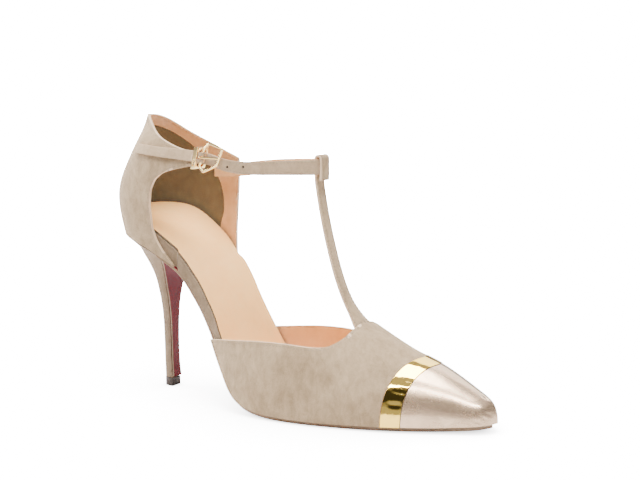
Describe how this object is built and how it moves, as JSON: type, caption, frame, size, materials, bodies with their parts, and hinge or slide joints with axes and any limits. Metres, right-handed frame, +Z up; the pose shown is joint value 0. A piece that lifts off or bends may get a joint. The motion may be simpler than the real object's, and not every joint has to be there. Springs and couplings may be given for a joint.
{
  "type": "t-strap stiletto heeled shoe",
  "caption": "Right-foot stiletto with a pointed closed toe, metallic toe cap and band, open waist, covered back, T-strap and buckled ankle strap.",
  "frame": {"origin": "on the floor at the middle of the heel tip's flat face", "axes": "+X towards the toe, +Y towards the inner (medial) side of the right foot, +Z up"},
  "size_m": [0.2246, 0.0746, 0.1511],
  "materials": {
    "upper_suede": "taupe suede with a short soft nap, cream leather lining",
    "strap_suede": "taupe suede strap with pale cut edges",
    "heel_suede": "taupe suede wrapped tight round heel and insole edge",
    "pearl_leather": "champagne leather with a pearly metallic sheen",
    "gold_leather": "mirror gold foil leather",
    "sock_leather": "smooth peach leather",
    "sole_leather": "glossy red lacquered leather with a brown edge",
    "heel_tip_rubber": "dark brown heel tip, satin",
    "buckle_metal": "polished pale gold plating"
  },
  "bodies": {
    "root": {"vamp": "upper_suede", "quarter": "upper_suede", "ankle_strap": "strap_suede", "buckle_strap": "strap_suede", "toe_cap": "pearl_leather", "toe_band": "gold_leather", "heel": "heel_suede", "insole_board": "heel_suede", "insole_sock": "sock_leather", "outsole": "sole_leather", "heel_tip": "heel_tip_rubber", "buckle_frame": "buckle_metal", "buckle_prong": "buckle_metal", "keeper": "buckle_metal"}
  },
  "joints": []
}
